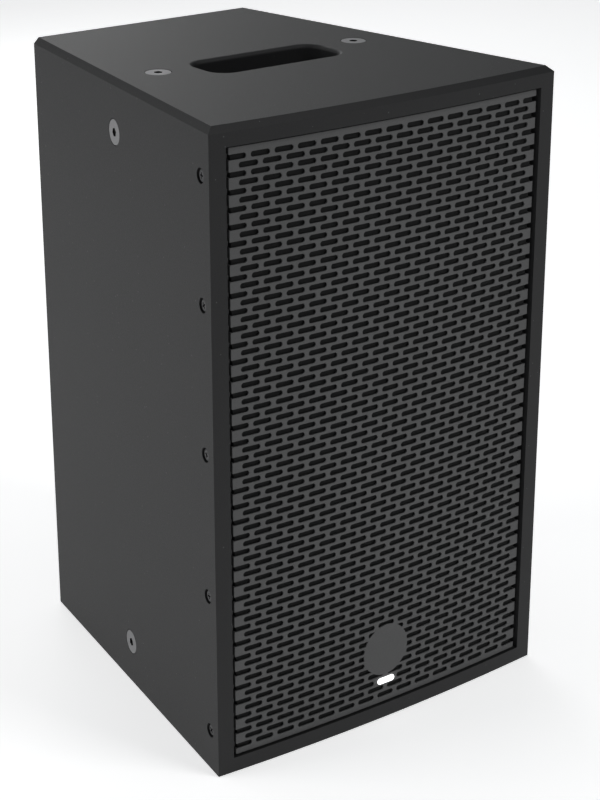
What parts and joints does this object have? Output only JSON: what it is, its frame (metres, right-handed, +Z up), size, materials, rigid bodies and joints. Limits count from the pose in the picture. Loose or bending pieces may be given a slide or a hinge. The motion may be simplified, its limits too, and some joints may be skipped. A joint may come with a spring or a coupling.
{
  "type": "pa speaker cabinet",
  "caption": "Tapered black wooden loudspeaker cabinet with a bowed slotted steel grille, pocket handle, rigging points, woofer, horn and a recessed amplifier panel behind.",
  "frame": {"origin": "middle of the bounding box, on the floor under the bottom panel", "axes": "+Z up, the grille faces -Y, +X to the right seen from the front"},
  "size_m": [0.3154, 0.3262, 0.5],
  "materials": {
    "textured_paint": "plywood under a fine textured charcoal paint, satin",
    "grille_paint": "powder coat, satin",
    "acoustic_foam": "open-cell foam, matte",
    "light_pipe": "diffuse white, lit",
    "circuit_board": "solder resist",
    "screw_steel": "black oxide, satin",
    "latch_steel": "stamped",
    "rigging_steel": "phosphated, satin",
    "dark_steel": "powder coat",
    "moulded_plastic": "fine grain",
    "control_plastic": "satin",
    "anodised_aluminium": "black anodised",
    "ferrite": "ground, matte",
    "rubber": "matte",
    "cone_pulp": "pressed pulp, matte",
    "copper_wire": "enamelled",
    "stained_plywood": "black stain, matte"
  },
  "bodies": {
    "cabinet": {"amp_board": "circuit_board", "amp_heat_sink": "anodised_aluminium", "amp_panel": "anodised_aluminium", "bottom_panel": "textured_paint", "front_baffle": "stained_plywood", "grille": "grille_paint", "grille_foam": "acoustic_foam", "grille_screw_left_1": "screw_steel", "grille_screw_left_2": "screw_steel", "grille_screw_left_3": "screw_steel", "grille_screw_left_4": "screw_steel", "grille_screw_left_5": "screw_steel", "grille_screw_right_1": "screw_steel", "grille_screw_right_2": "screw_steel", "grille_screw_right_3": "screw_steel", "grille_screw_right_4": "screw_steel", "grille_screw_right_5": "screw_steel", "handle_cup": "moulded_plastic", "horn_waveguide": "moulded_plastic", "input_socket": "control_plastic", "mains_inlet": "control_plastic", "output_socket": "control_plastic", "pole_socket": "moulded_plastic", "port_tube_left": "moulded_plastic", "port_tube_right": "moulded_plastic", "power_supply": "dark_steel", "rear_panel": "textured_paint", "rigging_bracket_bottom_left": "dark_steel", "rigging_bracket_bottom_right": "dark_steel", "rigging_bracket_top_left": "dark_steel", "rigging_bracket_top_right": "dark_steel", "rigging_screw_side_lower_left": "rigging_steel", "rigging_screw_side_lower_right": "rigging_steel", "rigging_screw_side_upper_left": "rigging_steel", "rigging_screw_side_upper_right": "rigging_steel", "rigging_screw_top_left": "rigging_steel", "rigging_screw_top_right": "rigging_steel", "side_panel_left": "textured_paint", "side_panel_right": "textured_paint", "status_light_board": "circuit_board", "status_light_pipe": "light_pipe", "top_panel": "textured_paint", "tweeter_driver": "dark_steel", "tweeter_rear_cover": "moulded_plastic", "woofer_basket": "dark_steel", "woofer_gasket": "rubber", "woofer_magnet": "ferrite", "woofer_pole_piece": "dark_steel", "woofer_spider": "cone_pulp", "woofer_surround": "rubber", "woofer_top_plate": "dark_steel"},
    "woofer_diaphragm": {"woofer_cone": "cone_pulp", "woofer_dust_cap": "cone_pulp", "woofer_voice_coil": "copper_wire"},
    "level_knob": {"level_knob": "control_plastic"},
    "preset_button": {"preset_button": "control_plastic"},
    "power_rocker": {"power_rocker": "control_plastic"},
    "input_latch": {"input_latch": "latch_steel"}
  },
  "joints": [
    {"name": "woofer_travel", "type": "slide", "parent": "cabinet", "child": "woofer_diaphragm", "axis": [0, -1, 0], "range_m": [-0.006, 0.006], "stiffness_N_per_m": 3500, "deforming": ["woofer_surround", "woofer_spider"]},
    {"name": "level_turn", "type": "hinge", "parent": "cabinet", "child": "level_knob", "pos_m": [-0.042, 0.1534, 0.268], "axis": [0, -1, 0], "range_deg": [-150, 150]},
    {"name": "preset_press", "type": "slide", "parent": "cabinet", "child": "preset_button", "axis": [0, -1, 0], "range_m": [0, 0.0015], "stiffness_N_per_m": 1200},
    {"name": "power_rock", "type": "hinge", "parent": "cabinet", "child": "power_rocker", "pos_m": [0.036, 0.1434, 0.092], "axis": [0, 0, 1], "range_deg": [0, 14]},
    {"name": "latch_press", "type": "slide", "parent": "cabinet", "child": "input_latch", "axis": [0, -1, 0], "range_m": [0, 0.0014], "stiffness_N_per_m": 1500}
  ]
}
